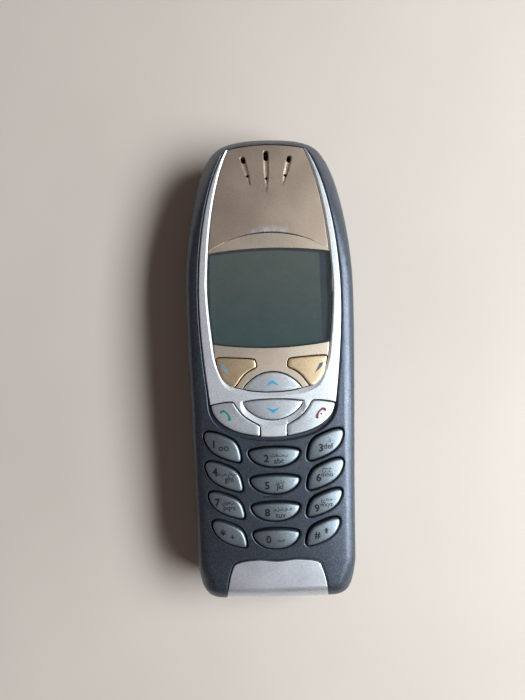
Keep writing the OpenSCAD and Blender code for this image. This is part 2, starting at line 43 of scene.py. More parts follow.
MM = 0.001
BODY_T = 21.0
HALF_L = 64.5
WIDEST_Z = 11.5         # the height at which the outline is widest
JOINT_Z = 9.0           # where the front cover meets the rear shell
ACROSS_R = 227.0        # the crown's radii, across and along, and its highest place
ALONG_R = 833.0
CROWN_Y = 5.0
EDGE_R = 4.6            # how far the front and the back are rounded in from the outline
BACK_R = 4.2
SIDE_WALL = 1.5
TOP_WALL = 2.0
BEZEL_RISE = 0.25
FASCIA_RISE = 0.1
LENS_RISE = 0.05
NAV_RISE = 0.45
KEY_RISE = 1.2
PLATE_RISE = 0.12
KEY_BASE = 15.3         # the keys' underside
INSIDE_Z = 12           # cutters through the front start here, well below its inner face
ABOVE_Z = BODY_T + 3    # the marks are drawn at this height and dropped on to the keys
# exponent of the rounding along the front's sides: under 1 is squarer than a quarter circle
SIDE_FULLNESS = 0.62
# the front falls away by FALL times the square of the way past a line this far inside the rim
FALL = 0.014
FALL_INSIDE = 2.9
FALL_WIDTH = 5.0
# the crease above the display: its y at the middle, and how fast it drops with the square of x
CREASE_Y = 35.08
CREASE_DROP = 0.0172
# the paint there, at the middle: where the painted shade begins, where the pale band of wear and painted
# highlight lies, and how fast both drop
PAINTED_SHADE_FROM = (34.8, 35.3)
WORN_AND_HIGHLIGHT_BAND = (35.1, 37.2)
PAINT_DROP = 0.0175
FOOT_HALF = 14.0        # half the width of the straight foot end, inside the rim
EDGE_STEPS = 3
LIP_STEPS = 4

# each outline is the right half, from the top middle round to the bottom middle, as Bezier stretches
BODY_HALF = [(0, 64.5), (8, 64.5), (13.6, 63.6), (16.2, 59.8), (21.1, 52.5), (23.5, 38), (23.5, 20),
             (23.5, 2), (22, -22), (21.6, -52), (21.5, -60.5), (20.5, -64.5), (14.5, -64.5), (10, -64.5),
             (5, -64.5), (0, -64.5)]
BEZEL_HALF = [(0, 59.8), (4, 59.8), (8, 59.3), (11, 58.6), (16.1, 51.3), (19.2, 34), (19.2, 18), (19.2, 8),
              (17.8, -4), (16.8, -11.2), (16.2, -17.4), (9, -20.2), (0, -20.2)]
FASCIA_HALF = [(0, 60.2), (3.5, 60.2), (7, 59.8), (10.3, 59), (15, 48.7), (16.5, 34), (16.9, 21), (16.9, 15),
               (15.9, 6), (15.2, 1), (13.9, -4.4), (12.2, -6.2), (10.1, -6.9), (7, -7.8), (3.5, -8), (0, -8)]
LENS_HALF = [(0, 30.5), (5, 30.5), (12, 30.1), (16.3, 29.4), (16.9, 22), (16.8, 12), (15.5, 4.8), (11, 4),
             (5, 3.5), (0, 3.5)]
SCROLL_UP_HALF = [(0, -3.1), (2, -3.1), (3.7, -3.7), (5.2, -4.8), (6.2, -5.5), (6.9, -6.2), (7.75, -7.3),
                  (6, -7.9), (3, -8.2), (0, -8.2)]
SCROLL_DOWN_HALF = [(0, -10.3), (3, -10.3), (6, -10.6), (7.9, -11), (7.4, -12.4), (6.2, -13.4), (5, -14.2),
                    (3.6, -15.1), (2, -15.6), (0, -15.6)]
MOON_HALF = [(0, 1), (0.4, 1), (0.75, 0.95), (0.95, 0.84), (1.02, 0.76), (0.98, 0.62), (0.9, 0.46),
             (0.72, 0.16), (0.4, 0), (0, 0)]
PLATE_HALF = [(0, -53.1), (2, -53.1), (3.4, -52.7), (5.1, -52.7), (7, -52.8), (11.4, -53), (11.6, -54.5),
              (12.6, -57), (13.3, -60), (13.7, -66), (9, -66), (5, -66), (0, -66)]
# closed outlines, rounded off by flowing(); the leaf is a side key's, in shares of its width and height
LEAF = [(1, 0.88), (0.96, 0.98), (0.855, 1), (0.68, 0.96), (0.51, 0.885), (0.34, 0.8), (0.19, 0.7),
        (0.1, 0.57), (0.045, 0.41), (0.015, 0.25), (0, 0.1), (0.02, 0.02), (0.08, 0), (0.25, 0.055),
        (0.42, 0.125), (0.6, 0.22), (0.77, 0.357), (0.89, 0.52), (0.97, 0.715)]
SOFT_KEY = [(14.6, 1.1), (10, 0.85), (4.9, 0.5), (4.4, 0), (4.2, -1.4), (4.5, -1.8), (5.5, -2.2), (7, -3.1),
            (8.4, -4.5), (9.6, -6.3), (10.2, -6.85), (11.2, -6.6), (12.6, -5.4), (13.6, -4), (14.3, -2),
            (14.8, 0.6)]
END_KEY = [(16.4, -11.6), (13.8, -11.05), (10.9, -10.8), (10.4, -11.2), (9.5, -12.8), (7.95, -14.7),
           (5.8, -16.1), (3.9, -17.1), (3.7, -17.5), (3.7, -19.75), (4, -19.9), (5.15, -19.7),
           (7.45, -19.25), (9.55, -18.65), (11.45, -17.85), (13.1, -16.9), (14.5, -15.75),
           (15.55, -14.45), (16.2, -12.95), (16.45, -11.9)]
# the notch in the bezel that the end key fills, open towards the cover
END_NOTCH = [(18.6, -12.07)] + END_KEY[:10] + [(3.7, -21.6), (9, -21.6), (15, -19.5), (18.6, -15.5)]
# inner edge x, width, bottom y and height of each row's side keys, then width, bottom y and height of its
# middle key
SIDE_ROWS = [(8.9, 9.6, -26.6, 8), (8.65, 9.7, -34.35, 7.9), (8.35, 9.3, -41.45, 7), (7.95, 8.9, -49.05, 7)]
MIDDLE_ROWS = [(13.4, -27.9, 4.8), (12.9, -35, 4.7), (12.6, -42.1, 4.6), (12, -49.4, 4.9)]


# ---- outlines ----

def clamped(value):
    return max(0.0, min(1.0, value))


def eased(value):
    """From 0 to 1 with a gentle start and end."""
    share = clamped(value)
    return share * share * (3 - 2 * share)


def stretches(points, steps):
    """Points along a chain of Bezier stretches, without the last one."""
    found = []
    for k in range(0, len(points) - 3, 3):
        for i in range(steps):
            t = i / steps
            weights = ((1 - t) ** 3, 3 * t * (1 - t) ** 2, 3 * t * t * (1 - t), t ** 3)
            found.append(tuple(sum(w * p[c] for w, p in zip(weights, points[k:k + 4])) for c in (0, 1)))
    return found


def whole(half, steps):
    """A closed outline, clockwise, from its right half."""
    right = stretches(half, steps) + [half[-1]]
    return right + [(-x, y) for x, y in right[-2:0:-1]]


def grown(points, d):
    """A clockwise outline moved outwards by d, which may be a function of the point."""
    made = []
    for i, p in enumerate(points):
        a, b = points[i - 1], points[(i + 1) % len(points)]
        dx, dy = b[0] - a[0], b[1] - a[1]
        length = math.hypot(dx, dy)
        reach = d(p) if callable(d) else d
        made.append((p[0] - reach * dy / length, p[1] + reach * dx / length))
    return made


def mirrored(points):
    return [(-x, y) for x, y in reversed(points)]


def placed(points, x, y, w, h):
    return [(x + w * p[0], y + h * p[1]) for p in points]


def circle(radius, count=32):
    return [(radius * math.sin(2 * math.pi * k / count), radius * math.cos(2 * math.pi * k / count))
            for k in range(count)]


def flowing(points):
    """A closed line with its corners cut twice, so that it flows."""
    for _ in range(2):
        points = [tuple(a[c] + share * (b[c] - a[c]) for c in (0, 1))
                  for a, b in zip(points, points[1:] + points[:1]) for share in (0.25, 0.75)]
    return points


def middle(points):
    return tuple(sum(p[c] for p in points) / len(points) for c in (0, 1))


def half_width(points, y):
    """How far a clockwise outline from the top middle reaches to the right at y."""
    right = points[:len(points) // 2 + 1]
    for (xa, ya), (xb, yb) in zip(right, right[1:]):
        if ya >= y >= yb and ya > yb:
            return xa + (xb - xa) * (ya - y) / (ya - yb)
    return FOOT_HALF


def tree_of(points):
    """The points in a tree that finds the one nearest to a place."""
    tree = KDTree(len(points))
    for i, (x, y) in enumerate(points):
        tree.insert((x, y, 0), i)
    tree.balance()
    return tree


body = whole(BODY_HALF, 12)
fine_body = whole(BODY_HALF, 240)
bezel = whole(BEZEL_HALF, 12)
fascia = whole(FASCIA_HALF, 10)
lens = whole(LENS_HALF, 10)
scroll_up = whole(SCROLL_UP_HALF, 8)
scroll_down = whole(SCROLL_DOWN_HALF, 8)
plate = whole(PLATE_HALF, 8)
soft_right = flowing(SOFT_KEY[::-1])
end_outline = flowing(END_KEY[::-1])
soft_left = mirrored(soft_right)
call_outline = mirrored(end_outline)
end_notch = flowing(END_NOTCH[::-1])


def number_outline(row, column):
    if column == 0:
        width, y, height = MIDDLE_ROWS[row]
        return placed(whole(MOON_HALF, 10), 0, y, width / 2, height)
    x, width, y, height = SIDE_ROWS[row]
    right = flowing(placed(LEAF, x, y, width, height)[::-1])
    return right if column > 0 else mirrored(right)


NUMBER_KEYS = {name: number_outline(i // 3, i % 3 - 1) for i, name in enumerate(
    ["key_1", "key_2", "key_3", "key_4", "key_5", "key_6", "key_7", "key_8", "key_9", "key_star", "key_0",
     "key_hash"])}


# ---- the crowned front: fronts are built flat, with the crown at BODY_T, and then laid on it ----

rim = grown(body, -EDGE_R)


def crown(x, y):
    return BODY_T - x * x / (2 * ACROSS_R) - (y - CROWN_Y) ** 2 / (2 * ALONG_R)


def laid(co):
    """A flat front piece's vertex, shifted on to the crown."""
    x, y, z = co.x / MM, co.y / MM, co.z / MM
    return Vector((co.x, co.y, (z - BODY_T + crown(x, y)) * MM))


def wrapped(co):
    """A cover's vertex: the side above the widest height is stretched to meet the crown, which falls away a
    little from just inside the rim."""
    x, y, z = co.x / MM, co.y / MM, co.z / MM
    if z <= WIDEST_Z:
        return co.copy()
    top = max(-HALF_L + EDGE_R, min(HALF_L - EDGE_R, y))
    reach = half_width(rim, top)
    past = max(0.0, min(FALL_WIDTH, abs(x) - reach + FALL_INSIDE))
    height = crown(max(-reach, min(reach, x)), top) - FALL * past ** 2
    if z >= BODY_T:
        return Vector((co.x, co.y, (height + z - BODY_T) * MM))
    share = (z - WIDEST_Z) / (BODY_T - WIDEST_Z)
    return Vector((co.x, co.y, (WIDEST_Z + share * (height - WIDEST_Z)) * MM))


def move_points(piece, rule):
    for vertex in piece.data.vertices:
        vertex.co = rule(vertex.co)
    piece.data.update()
    return piece


# ---- modelling: a filled circle is drawn to an outline, raised level by level, carved and sliced ----

def only(piece):
    """Makes this piece the one selected and active object."""
    bpy.ops.object.select_all(action="DESELECT")
    piece.select_set(True)
    bpy.context.view_layer.objects.active = piece


def edit_all(piece):
    """Goes into edit mode on this piece, with all of it selected."""
    only(piece)
    bpy.ops.object.mode_set(mode="EDIT")
    bpy.ops.mesh.select_all(action="SELECT")


def stack(name, levels):
    """A closed solid raised through these levels, each an outline of as many points and its height."""
    bpy.ops.object.select_all(action="DESELECT")
    outline, height = levels[0]
    bpy.ops.mesh.primitive_circle_add(vertices=len(outline), radius=0.01, fill_type="NGON")
    piece = bpy.context.object
    piece.name = name
    for vertex, (x, y) in zip(piece.data.vertices, outline):
        vertex.co = (x * MM, y * MM, height * MM)
    edit_all(piece)
    for (below, _), (outline, z) in zip(levels, levels[1:]):
        came_from = tree_of(below)
        bpy.ops.mesh.extrude_region_move(TRANSFORM_OT_translate={"value": (0, 0, 0)})
        drawn = bmesh.from_edit_mesh(piece.data)
        for vertex in [v for v in drawn.verts if v.select]:
            i = came_from.find((vertex.co.x / MM, vertex.co.y / MM, 0))[1]
            vertex.co = (outline[i][0] * MM, outline[i][1] * MM, z * MM)
        bmesh.update_edit_mesh(piece.data)
    bpy.ops.mesh.select_all(action="SELECT")
    bpy.ops.mesh.normals_make_consistent(inside=False)
    bpy.ops.object.mode_set(mode="OBJECT")
    return piece


def slab(name, outline, low, high):
    return stack(name, [(outline, low), (outline, high)])


def quarter(steps):
    """The angles of a quarter turn in so many steps."""
    return [math.pi / 2 * k / steps for k in range(steps + 1)]


def rounded(outline, low, high, radius):
    """Levels of a piece whose top edge is rounded."""
    return [(outline, low)] + [
        (grown(outline, -radius * (1 - math.cos(t))), high - radius + radius * math.sin(t))
        for t in quarter(EDGE_STEPS)]


def opening(outline, gap, lip, low, high):
    """A cutter for a hole with a rounded lip at the height high."""
    flare = [(grown(outline, gap + lip * (1 - math.cos(t))), high - lip + lip * math.sin(t))
             for t in quarter(LIP_STEPS)]
    last = grown(outline, gap + lip + 0.02)
    return stack("cutter", [(grown(outline, gap), low)] + flare + [(last, high + 3)])


def combine(piece, operation, *tools):
    for tool in tools:
        only(piece)
        step = piece.modifiers.new("combine", "BOOLEAN")
        step.operation = operation
        step.solver = "EXACT"
        step.object = tool
        bpy.ops.object.modifier_apply(modifier=step.name)
        bpy.data.objects.remove(tool)


def carve(piece, *tools):
    combine(piece, "DIFFERENCE", *tools)


def slice_up(piece, step):
    """Cuts the faces along a grid of step mm, so that a flat face can follow the crown."""
    places = [v.co / MM for v in piece.data.vertices]
    edit_all(piece)
    for axis in (0, 1):
        low, high = min(p[axis] for p in places), max(p[axis] for p in places)
        for k in range(math.ceil(low / step - 0.5), math.floor(high / step - 0.5) + 1):
            place, normal = [0, 0, 0], [0, 0, 0]
            place[axis] = (k + 0.5) * step * MM
            normal[axis] = 1
            bpy.ops.mesh.select_all(action="SELECT")
            bpy.ops.mesh.bisect(plane_co=place, plane_no=normal, threshold=1e-7)
    bpy.ops.object.mode_set(mode="OBJECT")


def tidy_mesh(piece, distance=0.002):
    """Merges the points that lie closer together than this, in mm."""
    edit_all(piece)
    bpy.ops.mesh.remove_doubles(threshold=distance * MM)
    bpy.ops.object.mode_set(mode="OBJECT")


def lay(piece, rule=laid):
    """Gives a finished flat front piece the shape of the crown."""
    slice_up(piece, 2.0)
    tidy_mesh(piece)
    move_points(piece, rule)


def polish(piece, body_name, material, nodes=(), angle=32, weighted=True):
    """Smooth shading, the material, and the body that the finished piece rides on."""
    only(piece)
    bpy.ops.object.shade_smooth_by_angle(angle=math.radians(angle))
    if weighted:
        step = piece.modifiers.new("even shading", "WEIGHTED_NORMAL")
        step.keep_sharp = True
        step.weight = 80
        bpy.ops.object.modifier_apply(modifier=step.name)
    piece.data.materials.clear()
    piece.data.materials.append(material)
    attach(piece, body_name)
    if nodes:
        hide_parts(*nodes)
    return piece


# ---- materials ----

def linear(text):
    """An sRGB hex colour as the linear one that the shaders take."""
    values = [int(text[i:i + 2], 16) / 255 for i in (1, 3, 5)]
    return tuple(v / 12.92 if v <= 0.04045 else ((v + 0.055) / 1.055) ** 2.4 for v in values) + (1.0,)


def add(tree, kind, settings=None, sockets=None, stops=()):
    """A node with its properties set, and each socket given a value or linked from another one. A colour
    ramp runs gently between its two stops."""
    made = tree.nodes.new("ShaderNode" + kind)
    for name, value in (settings or {}).items():
        setattr(made, name, value)
    for name, value in (sockets or {}).items():
        if isinstance(value, bpy.types.NodeSocket):
            tree.links.new(value, made.inputs[name])
        else:
            made.inputs[name].default_value = value
    if stops:
        made.color_ramp.interpolation = "EASE"
        for element, (position, colour) in zip(made.color_ramp.elements, stops):
            element.position = position
            element.color = colour
    return made


def fresh(name):
    """A new material's tree, the place coordinates in it and its output."""
    made = bpy.data.materials.new(name)
    made.use_nodes = True
    tree = made.node_tree
    tree.nodes.clear()
    place = add(tree, "TexCoord").outputs["Object"]
    return made, tree, place, add(tree, "OutputMaterial")


def grey(value):
    return (value, value, value, 1)


def shaded(colour, share):
    """A linear colour made lighter or darker by this share."""
    return tuple(min(1, c * share) for c in colour[:3]) + (1,)


def crease_shade_and_highlight_paint(tree, place, tint):
    """The gold front's tint: painted shade, pinker and darker, beyond the crease above the display, and pale
    patches on the middle of the ridge there, part wear and part painted highlight."""
    x, y, _ = add(tree, "SeparateXYZ", sockets={"Vector": place}).outputs
    square = add(tree, "Math", {"operation": "MULTIPLY"}, {0: x, 1: x}).outputs[0]
    level = add(tree, "Math", {"operation": "MULTIPLY_ADD"}, {
        0: square, 1: PAINT_DROP / MM, 2: y}).outputs[0]
    beyond, up_ridge = (add(tree, "MapRange", sockets={
        "Value": level, "From Min": low * MM, "From Max": high * MM}).outputs["Result"]
        for low, high in (PAINTED_SHADE_FROM, WORN_AND_HIGHLIGHT_BAND))
    # painted shade: beyond the crease the gold is multiplied pinker and darker
    painted_shade_above_crease = add(tree, "Mix", {"data_type": "RGBA", "blend_type": "MULTIPLY"}, {
        "Factor": beyond, 6: tint, 7: linear("#eae4e3")}).outputs[2]
    # pale bluish-white patches on the middle of the ridge: part wear, part painted highlight
    outwards = add(tree, "MapRange", sockets={"Value": square, "From Max": (7 * MM) ** 2}).outputs["Result"]
    scuff_and_highlight_patches = add(tree, "TexNoise", sockets={"Vector": place, "Scale": 1 / (1.6 * MM), "Detail": 5.0})
    rubbed_and_painted_highlight = beyond
    for value, stops in ((up_ridge, ((0.1, grey(1)), (0.95, grey(0)))),
                         (outwards, ((0.1, grey(1)), (0.95, grey(0)))),
                         (scuff_and_highlight_patches.outputs["Fac"], ((0.35, grey(0.25)), (0.65, grey(0.95))))):
        part = add(tree, "ValToRGB", sockets={"Fac": value}, stops=stops).outputs["Color"]
        rubbed_and_painted_highlight = add(tree, "Math", {"operation": "MULTIPLY"}, {0: rubbed_and_painted_highlight, 1: part}).outputs[0]
    return add(tree, "Mix", {"data_type": "RGBA"}, {
        "Factor": rubbed_and_painted_highlight, 6: painted_shade_above_crease, 7: linear("#dfe6f2")}).outputs[2]


def lacquered(name, dark, light, metallic, roughness, coat=0.12, retint=None):
    """Metallic lacquer sprayed on moulded plastic. The flakes are about three times as coarse as real ones,
    so that they still glint; a slow mottle in the gloss comes from handling. A retint, if given, changes the
    tint; the gold front's adds painted shade and a painted highlight."""
    flake_mm = 0.12
    made, tree, place, out = fresh(name)
    flakes = add(tree, "TexVoronoi", sockets={"Vector": place, "Scale": 1 / (flake_mm * MM)})
    shade = add(tree, "SeparateColor", sockets={"Color": flakes.outputs["Color"]}).outputs["Red"]
    tint = add(tree, "ValToRGB", sockets={"Fac": shade},
               stops=((0.05, linear(dark)), (0.95, linear(light)))).outputs["Color"]
    if retint:
        tint = retint(tree, place, tint)
    handled = add(tree, "TexNoise", sockets={"Vector": place, "Scale": 1 / (9 * MM), "Detail": 4.0})
    gloss = add(tree, "MapRange", sockets={
        "Value": handled.outputs["Fac"], "From Min": 0.3, "From Max": 0.7,
        "To Min": roughness - 0.04, "To Max": roughness + 0.04}).outputs["Result"]
    peel = add(tree, "TexNoise", sockets={"Vector": place, "Scale": 1 / (0.5 * MM), "Detail": 2.0})
    bump = add(tree, "Bump", sockets={
        "Height": peel.outputs["Fac"], "Strength": 0.05, "Distance": 0.04 * MM})
    shader = add(tree, "BsdfPrincipled", sockets={
        "Base Color": tint, "Metallic": metallic, "Roughness": gloss, "Coat Weight": coat,
        "Coat Roughness": 0.15, "Normal": bump.outputs["Normal"]})
    tree.links.new(shader.outputs["BSDF"], out.inputs["Surface"])
    return made


def moulded(name, colour, roughness, grain_mm=0.25, depth_mm=0.02, variation=0.12):
    """Moulded, cut or printed material: an even colour, a little clouded, with a fine grain in relief."""
    made, tree, place, out = fresh(name)
    base = linear(colour)
    cloud = add(tree, "TexNoise", sockets={"Vector": place, "Scale": 1 / (6 * MM), "Detail": 5.0})
    tint = add(tree, "ValToRGB", sockets={"Fac": cloud.outputs["Fac"]}, stops=(
        (0.3, shaded(base, 1 - variation)), (0.7, shaded(base, 1 + variation)))).outputs["Color"]
    grain = add(tree, "TexNoise", sockets={"Vector": place, "Scale": 1 / (grain_mm * MM), "Detail": 3.0})
    bump = add(tree, "Bump", sockets={
        "Height": grain.outputs["Fac"], "Strength": 0.35, "Distance": depth_mm * MM})
    shader = add(tree, "BsdfPrincipled", sockets={
        "Base Color": tint, "Roughness": roughness, "Normal": bump.outputs["Normal"]})
    tree.links.new(shader.outputs["BSDF"], out.inputs["Surface"])
    return made


def plated(name, colour, roughness):
    """Rolled or plated sheet metal: faint lines along the rolling direction, 0.08 mm apart."""
    made, tree, place, out = fresh(name)
    turned = add(tree, "Mapping", sockets={"Vector": place, "Scale": (1.0, 0.06, 1.0)})
    lines = add(tree, "TexNoise", sockets={
        "Vector": turned.outputs["Vector"], "Scale": 1 / (0.08 * MM), "Detail": 2.0})
    base = linear(colour)
    tint = add(tree, "ValToRGB", sockets={"Fac": lines.outputs["Fac"]},
               stops=((0.3, shaded(base, 0.82)), (0.7, base))).outputs["Color"]
    bump = add(tree, "Bump", sockets={
        "Height": lines.outputs["Fac"], "Strength": 0.2, "Distance": 0.01 * MM})
    shader = add(tree, "BsdfPrincipled", sockets={
        "Base Color": tint, "Metallic": 1.0, "Roughness": roughness, "Normal": bump.outputs["Normal"]})
    tree.links.new(shader.outputs["BSDF"], out.inputs["Surface"])
    return made


# sprayed ABS: a dark blue-grey metallic with a fine sparkle and a broad soft glint along the shoulders
cover_lacquer = lacquered("metallic lacquered ABS, charcoal", "#39414c", "#616b78", 0.8, 0.46, coat=0.15)
# the same ABS without lacquer on the back, spark eroded tool: matt and even
cover_moulded = moulded("moulded ABS, charcoal", "#343a43", 0.45, variation=0.05)
# silver lacquer, a little cool: partly flake and partly pigment, so that it stays bright on both arms
silver_lacquer = lacquered("metallic lacquered ABS, silver", "#ccd5dc", "#ebf2f6", 0.68, 0.5)
# the foot plate's silver leans to lilac
plate_lacquer = lacquered("metallic lacquered ABS, lilac silver", "#d0dae4", "#eff5fb", 0.9, 0.49)
# champagne gold that goes from grey to warm with the light, with painted shade above the crease and a pale
# band of wear and painted highlight on its ridge
gold_lacquer = lacquered("metallic lacquered ABS, champagne", "#cfc2ae", "#e0d7c7", 0.9, 0.5,
                         retint=crease_shade_and_highlight_paint)
# the soft keys are yellower and glossier than the front round them
soft_key_lacquer = lacquered("metallic lacquered ABS, pale champagne", "#dac197", "#f5e3c2", 0.9, 0.44)
# keys of clear plastic sprayed from above: pale grey round the display, blue grey for the numbers
nav_key_lacquer = lacquered("metallic lacquered polycarbonate, pale grey", "#c6d6e1", "#f2f8fc", 0.9, 0.45)
key_lacquer = lacquered("metallic lacquered polycarbonate, blue grey", "#7b8993", "#9aa8b1", 0.9, 0.45)
# pad printed inks: thin, even and a little glossy, the soft keys' ones worn
legend_ink = moulded("pad printed ink, navy", "#10151f", 0.5, depth_mm=0.004)
MARK_INKS = {kind: moulded("pad printed ink, " + kind, colour, 0.45, depth_mm=0.004) for kind, colour in (
    ("sky blue", "#3f98c6"), ("worn grey blue", "#5f97b0"), ("slate blue", "#44657a"),
    ("green", "#1f7a6a"), ("dark red", "#7a2f3a"))}
# the print behind the lens looks violet black through the acrylic
black_print = moulded("screen printed black under acrylic", "#37344a", 0.35, depth_mm=0.004)
# plain inner mouldings: half matt black and off-white
black_abs = moulded("moulded black ABS", "#15171a", 0.5)
white_abs = moulded("moulded white ABS", "#dcd8cf", 0.5)
# soft parts: foam with an open, light-swallowing cut face, rubber with a dull bloom, darker than its own
# grey as painted shade where it shows through the key gaps
foam = moulded("die cut black foam", "#0c0c0d", 0.95, grain_mm=0.4, depth_mm=0.1)
rubber = moulded("compression moulded silicone rubber, dark grey", "#2c2f33", 0.75)
# the weave of the glass cloth just shows through the resist
board_resist = moulded("glass epoxy board under green solder resist", "#1b5a35", 0.35, grain_mm=0.6,
                       depth_mm=0.04)
# the battery's aluminium can under tight dark film, smooth with a slight orange peel
can = moulded("shrink wrapped aluminium can", "#34383e", 0.4, grain_mm=0.5)
# sheet metals with faint rolling lines: bright foil, softer tin, warm contact gold, dull sintered tungsten
dome_foil = plated("rolled stainless steel foil", "#c8cacb", 0.32)
tin_plate = plated("tin plated steel sheet", "#b9bbbd", 0.38)
gold_plate = plated("gold plated phosphor bronze", "#c9a24f", 0.3)
tungsten = plated("sintered tungsten alloy", "#857e74", 0.5)


def lens_material():
    """Hard coated clear acrylic, a little grey-green: it shows what lies under it, mirrors the lamps and
    holds some dust. Towards a glancing view it turns more opaque, a painted reflection on top of the real
    one."""
    made, tree, place, out = fresh("hard coated acrylic")
    dust = add(tree, "TexNoise", sockets={"Vector": place, "Scale": 1 / (0.55 * MM), "Detail": 2.0})
    specks = add(tree, "ValToRGB", sockets={"Fac": dust.outputs["Fac"]},
                 stops=((0.64, grey(0)), (0.72, grey(0.3)))).outputs["Color"]
    glancing = add(tree, "LayerWeight", sockets={"Blend": 0.35}).outputs["Facing"]
    # painted reflection: the lens is made more opaque grey-green towards a glancing view
    painted_glancing_reflection = add(tree, "MapRange", sockets={
        "Value": glancing, "To Min": 0.2, "To Max": 0.75}).outputs["Result"]
    alpha = add(tree, "Math", {"operation": "ADD"}, {0: painted_glancing_reflection, 1: specks})
    shader = add(tree, "BsdfPrincipled", sockets={
        "Base Color": linear("#5c686a"), "Roughness": 0.08, "IOR": 1.49, "Alpha": alpha.outputs["Value"]})
    tree.links.new(shader.outputs["BSDF"], out.inputs["Surface"])
    return made


def display_material():
    """Reflective liquid crystal glass: grey towards the top and teal towards the bottom, a little clouded,
    with the 0.36 mm pixel rows just showing."""
    made, tree, place, out = fresh("liquid crystal glass")
    rows = add(tree, "TexWave", {"bands_direction": "Y", "wave_profile": "TRI"}, {
        "Vector": place, "Scale": 1 / (2.6 * 0.36 * MM)})
    cloud = add(tree, "TexNoise", sockets={"Vector": place, "Scale": 1 / (5 * MM), "Detail": 5.0})
    height = add(tree, "SeparateXYZ", sockets={"Vector": place}).outputs["Y"]
    rise = add(tree, "MapRange", sockets={"Value": height, "From Min": 3 * MM, "From Max": 31 * MM})
    mixed = add(tree, "Mix", {"data_type": "FLOAT"}, {
        0: 0.12, 2: cloud.outputs["Fac"], 3: rows.outputs["Fac"]})
    shade = add(tree, "Mix", {"data_type": "FLOAT"}, {
        0: 0.42, 2: rise.outputs["Result"], 3: mixed.outputs[0]})
    tint = add(tree, "ValToRGB", sockets={"Fac": shade.outputs[0]},
               stops=((0.1, linear("#39605c")), (0.9, linear("#787d73")))).outputs["Color"]
    shader = add(tree, "BsdfPrincipled", sockets={"Base Color": tint, "Roughness": 0.25})
    tree.links.new(shader.outputs["BSDF"], out.inputs["Surface"])
    return made


acrylic = lens_material()
crystal = display_material()

# ---- front cover: raised side, inner core taken out, then the openings ----

SIDE_ANGLES = [math.radians(a) for a in (0, 6, 14, 24, 36, 48, 60, 70, 78, 85, 90)]
JOINT_ANGLE = math.asin(1 - JOINT_Z / WIDEST_Z)


def fullness(p):
    """How square the shoulder is: full along the sides, drawn in softly at the two ends."""
    return SIDE_FULLNESS + eased((p[1] - 22) / 36) + 0.52 * eased((-53 - p[1]) / 8)


def side_levels(points, side, top, low):
    """Levels of the rounded front side, side and top inside the outer surface."""
    levels = [(grown(points, -BACK_R * (1 - math.cos(JOINT_ANGLE)) - side), low)]
    for a in SIDE_ANGLES:
        up = math.sin(a) ** SIDE_FULLNESS

        def drawn_in(p):
            across = max(0.0, 1 - up ** (2 / fullness(p))) ** (fullness(p) / 2)
            return -EDGE_R * (1 - across) - side * math.cos(a)
        levels.append((grown(points, drawn_in), WIDEST_Z + (BODY_T - top - WIDEST_Z) * up))
    return levels


def groove_width(p):
    """The dark groove round the bezel is widest under its lower end."""
    return 0.32 + 0.75 * eased((-7 - p[1]) / 12)


def make_front_cover():
    chamfer = 0.12
    outer = side_levels(body, 0, 0, JOINT_Z)
    seam = (grown(outer[0][0], -chamfer), JOINT_Z)
    outer[0] = (outer[0][0], JOINT_Z + chamfer)
    cover = stack("front_cover_shell", [seam] + outer)
    carve(cover, stack("core", side_levels(body, SIDE_WALL, TOP_WALL, JOINT_Z - 1)))
    carve(cover, slab("cutter", grown(bezel, 0.15), INSIDE_Z, BODY_T + 2))
    carve(cover, opening(grown(bezel, groove_width), gap=0, lip=0.35, low=BODY_T - 1.1, high=BODY_T))
    for outline in NUMBER_KEYS.values():
        carve(cover, opening(outline, gap=0.46, lip=0.42, low=INSIDE_Z, high=BODY_T))
    seat = opening(plate, gap=0.3, lip=0.45, low=JOINT_Z + 0.5, high=BODY_T)
    carve(seat, stack("core", side_levels(body, 1.0, 1.0, JOINT_Z - 1)))
    carve(cover, seat)
    lay(cover, wrapped)
    polish(cover, "handset", cover_lacquer, ["front_cover"])


def make_tactile_bar():
    """The raised mark under the middle key, 5.5 by 0.45 mm with round ends."""
    half = [(0, 0.5), (0.35, 0.5), (0.43, 0.5), (0.46, 0.4), (0.5, 0.3),
            (0.5, -0.3), (0.46, -0.4), (0.43, -0.5), (0.35, -0.5), (0, -0.5)]
    bar = placed(whole(half, 4), -0.25, -36, 5.5, 0.45)
    piece = stack("tactile_bar", rounded(bar, BODY_T - 0.6, BODY_T + 0.28, 0.18))
    slice_up(piece, 1.0)
    move_points(piece, laid)
    polish(piece, "handset", cover_lacquer)


make_front_cover()
make_tactile_bar()

# ---- silver bezel and gold fascia ----

def crossbar(p):
    """0 along the arms, 1 along the crossbar under the fascia."""
    return clamped((-3.2 - p[1]) / 4.8)


def dish(p):
    """How far the dish round the lower scroll key reaches out from it: wide at its sides and bottom."""
    return 0.36 + 1.43 * clamped((-10.3 - p[1]) / 2.6)


